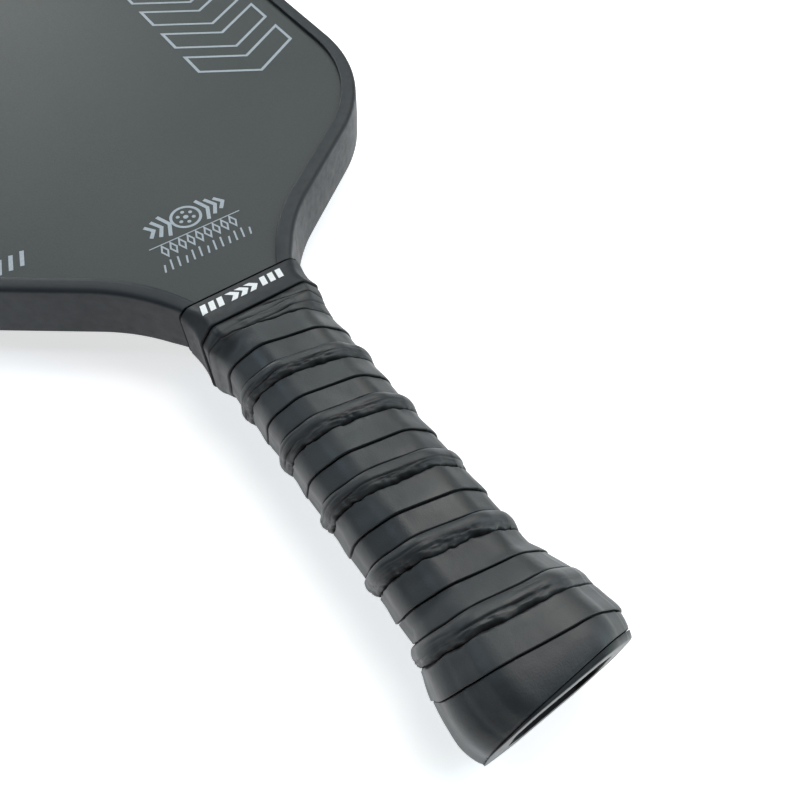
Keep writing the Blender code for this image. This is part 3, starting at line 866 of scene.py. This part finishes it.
def make_grip(section):
    x, along, z, hollow = strip_grid(section)
    rows, columns = x.shape
    points = np.stack([x * MM, BUTT + along * MM, z * MM], -1).reshape(-1, 3)
    grid = np.arange(rows * columns).reshape(rows, columns)
    following = np.roll(grid, -1, 1)
    quads = np.stack([grid[:-1], following[:-1], following[1:], grid[1:]], -1).reshape(-1, 4)
    faces = quads.tolist() + [grid[0].tolist(), grid[-1].tolist()]
    mesh = bpy.data.meshes.new("wound_grip")
    mesh.from_pydata(points.tolist(), [], faces)
    set_hollow(mesh, hollow.reshape(-1))
    piece = bpy.data.objects.new("wound_grip", mesh)
    bpy.context.scene.collection.objects.link(piece)
    low_end = (place(0, grip_low(0), 0), (FLANGE_SLANT, -1, 0))
    trim_ends(piece, (low_end, (place(0, GRIP_END, 0), (0, 1, 0))))
    mesh.shade_smooth()
    mesh.set_sharp_from_angle(angle=math.radians(60))
    return piece


# The collar.

# Its sections: places, and at each the half width, the half height and the corners' cuts in x and z.
COLLAR_PLACES = (125.6, 130.2, 134.0, 140.2)
COLLAR_SIZES = (
    (19.25, 15.2, 4.2, 5.2),
    (18.45, 14.3, 3.8, 4.6),
    (18.75, 13.0, 3.4, 3.8),
    (20.0, 10.4, 2.6, 2.4),
)
COLLAR_THICKNESS = 1.35
COLLAR_ROUND = 0.5
COLLAR_CORNER = 2.6
COLLAR_LEAN = 0.7
# The groove and lip at its far end: distance from the end, depth, and 1 where painted shade darkens it.
COLLAR_LIP = (
    (1.45, 0.0, 0),
    (1.25, 0.18, 1),
    (1.15, 1.05, 1),
    (0.3, 1.05, 1),
    (0.26, 0.3, 1),
    (0.18, 0.2, 0),
    (0.0, 0.35, 0),
)


def collar_size(along):
    """The collar's half width, half height and corner cuts at a place, on a smooth curve through its four."""
    curve = np.polyfit(COLLAR_PLACES, np.array(COLLAR_SIZES), 3)
    return [float(np.polyval(curve[:, k], along)) for k in range(4)]


def collar_outline(along):
    """The collar's outline and outward normals at a place. Its lower edge leans left, over the lump below."""
    points, normals, _, _ = rounded(octagon_corners(*collar_size(along)), COLLAR_CORNER, 6, 1.0)
    points[:, 0] -= COLLAR_LEAN * (1 - ramp(along, COLLAR_PLACES[0] + 2.0, 11.0))
    return points, normals


def collar_ring(along, inset):
    points, normals = collar_outline(along)
    return [(x, along, z) for x, z in points - normals * inset]


def resampled(rings, count=160):
    """Rings with equal counts of points, spaced evenly, each from the top's middle round towards +X."""
    made = []
    for ring in rings:
        points = np.array(ring)
        angles = np.arctan2(points[:, 0], points[:, 2])
        order = np.argsort(angles)
        points = points[order]
        angles = angles[order]
        wanted = -math.pi + 2 * math.pi * (np.arange(count) + 0.5) / count
        padded = np.r_[angles[-1:] - 2 * math.pi, angles, angles[:1] + 2 * math.pi]
        looped = np.r_[points[-1:], points, points[:1]]
        made.append([tuple(np.interp(a, padded, looped[:, k]) for k in range(3)) for a in wanted])
    return made


def make_collar():
    start = COLLAR_START + 0.05
    end = COLLAR_END
    r = COLLAR_ROUND
    rings = []
    for k in range(5, -1, -1):
        turn = math.radians(18 * k)
        # Painted shade on the lower edge, darker as its rounding turns in.
        dark = smooth(2.2 * math.sin(turn / 2) ** 2)
        rings.append((start + r * (1 - math.sin(turn)), r * (1 - math.cos(turn)), dark))
    straight = end - start - r - COLLAR_LIP[0][0] - 0.1
    rings += [(start + r + straight * k / 16, 0.0, 0.0) for k in range(1, 17)]
    rings += [(end - along, inset, dark) for along, inset, dark in COLLAR_LIP]
    # The inside is given full painted shade.
    rings += [(start + (end - start) * k / 4, COLLAR_THICKNESS, 1.0) for k in (4, 3, 2, 1, 0)]
    sections = resampled([collar_ring(along, inset) for along, inset, _ in rings])
    collar = loft("collar_sleeve", sections, caps=False, smooth_angle=55)
    set_hollow(collar.data, np.repeat([float(dark) for _, _, dark in rings], len(sections[0])))
    return collar


# The butt cap and its disc.


def ring_distances(section):
    return section.around * (np.arange(RING_POINTS) + 0.5) / RING_POINTS


def butt_ring(section, along, height, follows_flange=True):
    """A ring around the butt, at a height above the bare handle. On the flange, a place is a share of it."""
    s = ring_distances(section)
    x, _, nx, *_ = section.at(s)
    where = np.full(RING_POINTS, float(along))
    if follows_flange:
        where = along * flange_width(x * 1.3)
    if height > 1.0:
        height = height - SIDE_LEAN * nx
    x, z = handle_points(section, s, where, height)
    return list(zip(x, where, z))


def recess_ring(along, inset):
    """A ring in the cap's recess, in from its wall by an inset."""
    points, normals, _, _ = rounded(octagon_corners(*CAP_RECESS), 2.5, 6, 1.0)
    points = points - normals * inset
    loop = np.r_[points, points[:1]]
    travelled = np.r_[0, np.cumsum(np.linalg.norm(np.diff(loop, axis=0), axis=1))] + points[0][0]
    wanted = travelled[-1] - points[0][0]
    s = (wanted * (np.arange(RING_POINTS) + 0.5) / RING_POINTS - points[0][0]) % wanted + points[0][0]
    return [(np.interp(a, travelled, loop[:, 0]), along, np.interp(a, travelled, loop[:, 1])) for a in s]


def make_butt_cap(section):
    """The cap. Its rings go from the recess over the end and the flange, and under the grip to the socket.

    Each row of inside and flange is a place, an inset or a height, and how much painted shade darkens it
    there.
    """
    inside = (
        (CAP_RECESS_DEPTH, 0.0, 1),
        (0.3, 0.0, 1),
        (0.12, -0.03, 1),
        (0.03, -0.1, 0.5),
        (0.0, -0.25, 0),
    )
    flange = (
        (0.0, -0.5, 0),
        (0.03, -0.25, 0),
        (0.1, -0.09, 0),
        (0.2, -0.02, 0),
        (0.3, 0.0, 0),
        (0.93, -0.05, 0.6),
    )
    rings = [recess_ring(along, inset) for along, inset, _ in inside]
    rings += [butt_ring(section, along, THICKNESS + height) for along, height, _ in flange]
    rings += [butt_ring(section, 1.0, 0.5)]
    rings += [butt_ring(section, 1.03, -CAP_UNDER_GRIP)]
    for along in np.linspace(2.8, CAP_MOUTH, 16):
        rings.append(butt_ring(section, along, -CAP_UNDER_GRIP, False))
    s = ring_distances(section)
    socket = list(zip(*handle_points(section, s, FLARE_START, SOCKET_GAP + section.corner_gap(s))))
    rings += [[(x, along, z) for x, z in socket] for along in (CAP_MOUTH, CAP_SOCKET)]
    cap = loft("butt_cap_moulding", rings, smooth_angle=50)
    # Painted shade in the recess and the flange's groove, and full painted shade on the hidden rings under
    # the grip.
    shades = [shade for *_, shade in inside + flange]
    shades += [1.0] * (len(rings) - len(shades))
    set_hollow(cap.data, np.repeat(shades, RING_POINTS))
    return cap


def make_disc():
    """The disc in the recess, with a rim that stands over its middle."""
    _, first, last, _ = reach("butt_cap_disc")
    gap = 0.35
    outline = ((last, 0.0), (first + 0.3, 0.0), (first + 0.08, 0.1), (first, 0.3), (first, 1.3))
    outline += ((first + 0.08, 1.5), (first + 0.3, 1.6), (first + 0.3, 2.0))
    return loft("butt_disc", [recess_ring(along, gap + inset) for along, inset in outline], smooth_angle=50)


# Printed marks: flat strokes of ink with a real thickness, in place of the lettering. They sink a little
# into the surface that they lie on.

INK_SINK = 0.02


def stroke(path, width, closed):
    """The left and right points of a line of that width along a path, with mitred corners."""
    count = len(path)
    left = []
    right = []
    for k, (x, y) in enumerate(path):
        before = path[k - 1] if closed or k else None
        after = path[(k + 1) % count] if closed or k < count - 1 else None
        normals = []
        for (x0, y0), (x1, y1) in [(a, b) for a, b in ((before, (x, y)), ((x, y), after)) if a and b]:
            size = math.hypot(x1 - x0, y1 - y0)
            normals.append(((y0 - y1) / size, (x1 - x0) / size))
        ax, ay = normals[0]
        bx, by = normals[-1]
        share = width / 2 / (1 + ax * bx + ay * by)
        left.append((x + (ax + bx) * share, y + (ay + by) * share))
        right.append((x - (ax + bx) * share, y - (ay + by) * share))
    return left, right


def circle(x, y, radius, sides):
    angles = [2 * math.pi * k / sides for k in range(sides)]
    return [(x + radius * math.cos(a), y + radius * math.sin(a)) for a in angles]


class Ink:
    """Collects flat shapes as (x, along) polygons and turns them into one thin mesh on a face."""

    def __init__(self):
        self.polygons = []

    def line(self, path, width, closed=False):
        left, right = stroke(path, width, closed)
        last = len(path) if closed else len(path) - 1
        for k in range(last):
            following = (k + 1) % len(path)
            self.polygons.append([left[k], left[following], right[following], right[k]])

    def fill(self, polygon):
        self.polygons.append(list(polygon))

    def ring(self, x, y, radius, width, sides=32):
        self.line(circle(x, y, radius, sides), width, True)

    def dot(self, x, y, radius, sides=14):
        self.fill(circle(x, y, radius, sides))

    def make(self, name, height_at, side=1, thickness=0.05):
        """The ink as a thin mesh, joined where shapes share an edge.

        height_at gives the surface's height, and side is -1 on the back face.
        """
        corners = {}
        cells = []
        for polygon in self.polygons:
            keys = [(round(x, 4), round(y, 4)) for x, y in polygon]
            cells.append([corners.setdefault(key, len(corners)) for key in keys])
        count = len(corners)
        points = []
        for lift in (-INK_SINK, thickness):
            points += [place(x * side, y, side * (height_at(x, y) + lift)) for x, y in corners]
        sides = [list(zip(cell, cell[1:] + cell[:1])) for cell in cells]
        uses = Counter(frozenset(pair) for pairs in sides for pair in pairs)
        faces = []
        for cell, pairs in zip(cells, sides):
            faces += [tuple(cell), tuple(k + count for k in cell)]
            faces += [(i, j, j + count, i + count) for i, j in pairs if uses[frozenset((i, j))] == 1]
        return mesh_object(name, points, faces, 30)


def emblem():
    """A perforated ball between slanted speed bars, a rule, and two rows of small tick marks."""
    ink = Ink()
    ball_x, ball_y, ball_radius = 0.8, 175.8, 5.1
    ink.ring(ball_x, ball_y, ball_radius - 0.45, 0.9, 40)
    ink.dot(ball_x, ball_y, 0.85)
    for k in range(6):
        a = math.radians(60 * k + 30)
        ink.dot(ball_x + 2.5 * math.cos(a), ball_y + 2.5 * math.sin(a), 0.62)
    for k in range(3):
        for side in (-1, 1):
            near_x = ball_x + side * (6.6 + 2.7 * k)
            half = 5.0 - 1.1 * k
            head = [(near_x - 1.0, ball_y - half), (near_x + 1.0, ball_y), (near_x - 1.0, ball_y + half)]
            ink.line(head[::side], 1.2)
    ink.line([(-15.0, 168.8), (16.0, 168.8)], 0.35)
    for k in range(9):
        x = -11.2 + 2.9 * k
        ink.line([(x - 1.0, 165.7), (x, 168.1), (x + 1.0, 165.7), (x, 163.3)], 0.55, True)
    for k in range(13):
        x = -14.4 + 2.4 * k
        top = 161.6 if k % 3 else 160.4
        ink.line([(x - 0.5, 157.4), (x + 0.5, top)], 0.55)
    return ink


def slanted_bars():
    """A short run of slanted bars at the face's left."""
    ink = Ink()
    for k in range(5):
        x = -46.5 - 3.4 * k
        ink.line([(x - 2.0, 184.4), (x, 190.6)], 1.25)
    return ink


def marching_chevrons():
    """Large outlined chevrons that march up the face's right side."""
    ink = Ink()
    near_x, far_x = 40.8, 80.6
    middle = (near_x + far_x) / 2
    rise = 12.0
    thick = 11.5
    for k in range(7):
        low = 232.0 + 19.5 * k
        side = low + rise
        outline = [(near_x, side), (middle, low), (far_x, side)]
        outline += [(far_x, side + thick), (middle, low + thick), (near_x, side + thick)]
        ink.line(outline, 1.15, True)
    return ink


def collar_blocks():
    """Bold slanted bars on both sides of a run of arrowheads, across the collar."""
    ink = Ink()
    low, high, lean, steps = 131.2, 136.2, 1.2, 8
    middle = (low + high) / 2

    def slab(x_low, x_high, width, bottom, top):
        for part in range(steps):
            a, b = part / steps, (part + 1) / steps
            xa, xb = x_low + (x_high - x_low) * a, x_low + (x_high - x_low) * b
            ya, yb = bottom + (top - bottom) * a, bottom + (top - bottom) * b
            for column in range(4):
                near_x, far_x = width * column / 4, width * (column + 1) / 4
                ink.fill([(xa + near_x, ya), (xa + far_x, ya), (xb + far_x, yb), (xb + near_x, yb)])

    for k in range(3):
        for start in (-15.2, 3.8):
            slab(start + 2.6 * k, start + 2.6 * k + lean, 1.7, low, high)
        tail = -6.2 + 3.0 * k
        slab(tail, tail + 1.7, 1.9, low, middle)
        slab(tail + 1.7, tail, 1.9, middle, high)
    return ink


def surface_of(piece):
    """A function from (x, along) to the height of a piece's upper surface."""
    tree = BVHTree.FromObject(piece, bpy.context.evaluated_depsgraph_get())

    def height(x, along):
        hit = tree.ray_cast(Vector(place(x, along, 60.0)), Vector((0, 0, -1)))[0]
        return hit.z / MM

    return height


def make_prints(collar):
    pale = print_ink("pale_ink", (0.40, 0.44, 0.48), (0.28, 0.31, 0.34))
    white = print_ink("white_ink", (0.86, 0.87, 0.87), (0.70, 0.71, 0.72))

    def face(x, along):
        return FACE_HEIGHT

    marks = (("emblem", emblem), ("slanted_bars", slanted_bars), ("chevrons", marching_chevrons))
    for name, draw in marks:
        for side, word in ((1, "front"), (-1, "back")):
            finish_piece(draw().make(f"{name}_{word}", face, side), pale, "print_ink")
    on_collar = surface_of(collar)
    finish_piece(collar_blocks().make("collar_blocks_front", on_collar), white, "print_ink")


# The stage.

CAMERA_PLACE = (-51.96, -7.71, 170.75)
CAMERA_TURN = (34.182, -0.881, -35.965)
LENS = 33.46


def make_camera():
    data = bpy.data.cameras.new("camera")
    data.sensor_width = 36.0
    data.lens = LENS
    data.clip_start = 0.01
    camera = bpy.data.objects.new("camera", data)
    turn = Euler([math.radians(angle) for angle in CAMERA_TURN])
    camera.matrix_world = Matrix.LocRotScale(place(*CAMERA_PLACE), turn, None)
    bpy.context.scene.collection.objects.link(camera)
    bpy.context.scene.camera = camera


# Soft boxes two metres away: name, elevation and bearing in degrees, power and colour. Bearing 0 is past the
# head, and 90 is at the paddle's right.
SOFT_BOXES = (
    ("key", 66, 60, 13.5, (0.98, 1.0, 0.98)),
    ("above_butt", 70, 105, 4.5, (1.0, 0.80, 0.66)),
    ("past_head_low", 18, 0, 12.0, (0.97, 1.0, 0.98)),
    ("past_head_right", 42, 30, 6.0, (0.78, 0.96, 1.0)),
    ("past_head_left", 42, 310, 8.0, (0.64, 0.84, 1.0)),
    ("warm_side", 42, 60, 5.0, (1.0, 0.86, 0.68)),
    ("right", 42, 120, 12.5, (0.70, 0.80, 1.0)),
    ("right_low", 18, 130, 9.5, (0.74, 1.0, 0.88)),
)
SOFT_BOX_SIZE = 0.95
SOFT_BOX_DISTANCE = 2.0
FLOOR_REACH = 4.0
FLOOR_GLOW = 0.66
SKY_COLOUR = (0.80, 0.93, 1.0, 1.0)
SKY_STRENGTH = 0.05


def soft_box(name, elevation, bearing, power, colour):
    data = bpy.data.lights.new(name, "AREA")
    data.color = colour
    data.shape = "SQUARE"
    data.size = SOFT_BOX_SIZE
    data.energy = power
    light = bpy.data.objects.new(name, data)
    e, b = math.radians(elevation), math.radians(bearing)
    outward = Vector((math.sin(b) * math.cos(e), math.cos(b) * math.cos(e), math.sin(e)))
    light.location = outward * SOFT_BOX_DISTANCE
    light.rotation_euler = (-outward).to_track_quat("-Z", "Y").to_euler()
    bpy.context.scene.collection.objects.link(light)


def make_stage():
    mesh = bpy.data.meshes.new("floor")
    far = FLOOR_REACH
    corners = [(x, y, CAD_BOX[0].z) for x, y in ((-far, -far), (far, -far), (far, far), (-far, far))]
    mesh.from_pydata(corners, [], [(0, 1, 2, 3)])
    floor = bpy.data.objects.new("floor", mesh)
    bpy.context.scene.collection.objects.link(floor)
    made = Finish("pale_floor")
    made.set(**{"Roughness": 0.9, "Emission Color": (1.0, 1.0, 1.0, 1.0), "Emission Strength": FLOOR_GLOW})
    made.colour(made.blend(made.noise(60, 3), (0.90, 0.90, 0.90), (0.93, 0.93, 0.93)))
    mesh.materials.append(made.material)
    for box in SOFT_BOXES:
        soft_box(*box)
    world = bpy.data.worlds.new("studio")
    world.use_nodes = True
    background = world.node_tree.nodes["Background"]
    background.inputs["Color"].default_value = SKY_COLOUR
    background.inputs["Strength"].default_value = SKY_STRENGTH
    bpy.context.scene.world = world
    bpy.context.scene.view_settings.view_transform = "Standard"


def dress_cad_nodes():
    """Materials for the CAD nodes that stay."""
    finishes = {
        "honeycomb_core": plain_part("core_polypropylene", (0.62, 0.64, 0.62), (0.74, 0.76, 0.74), 0.55),
        "handle_shell_front": plain_part("shell_foam", (0.04, 0.04, 0.04), (0.06, 0.06, 0.06), 0.65),
        "butt_cap_staple_front": plain_part("staple_wire", (0.5, 0.5, 0.5), (0.65, 0.65, 0.66), 0.3, 1.0),
        "finishing_tape": plain_part("vinyl_tape", (0.025, 0.025, 0.025), (0.04, 0.04, 0.04), 0.4),
        "front_face_sheet": carbon_face(),
    }
    finishes["handle_shell_back"] = finishes["handle_shell_front"]
    finishes["butt_cap_staple_back"] = finishes["butt_cap_staple_front"]
    finishes["back_face_sheet"] = finishes["front_face_sheet"]
    for name, material in finishes.items():
        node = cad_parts[name]
        node.data.materials.clear()
        node.data.materials.append(material)


def main():
    dress_cad_nodes()
    section = HandleSection()
    finish_piece(make_guard(), guard_plastic(), "edge_guard", "edge_guard")
    finish_piece(make_grip(section), grip_leather(), "grip_leather", "grip_wrap")
    cord = plain_part("cord_foam", (0.24, 0.24, 0.24), (0.34, 0.34, 0.34), 0.8)
    finish_piece(make_cord(section), cord, "rib_cord", "grip_rib_cord")
    collar = make_collar()
    finish_piece(collar, collar_rubber(), "collar_rubber", "collar_band")
    cap = cap_plastic("cap_plastic", (0.014, 0.017, 0.020), (0.021, 0.024, 0.027), 0.38)
    finish_piece(make_butt_cap(section), cap, "butt_cap", "butt_cap")
    disc = cap_plastic("disc_plastic", (0.006, 0.006, 0.007), (0.010, 0.010, 0.011), 0.35)
    finish_piece(make_disc(), disc, "butt_cap_disc", "butt_cap_disc")
    make_prints(collar)
    make_camera()
    make_stage()


main()
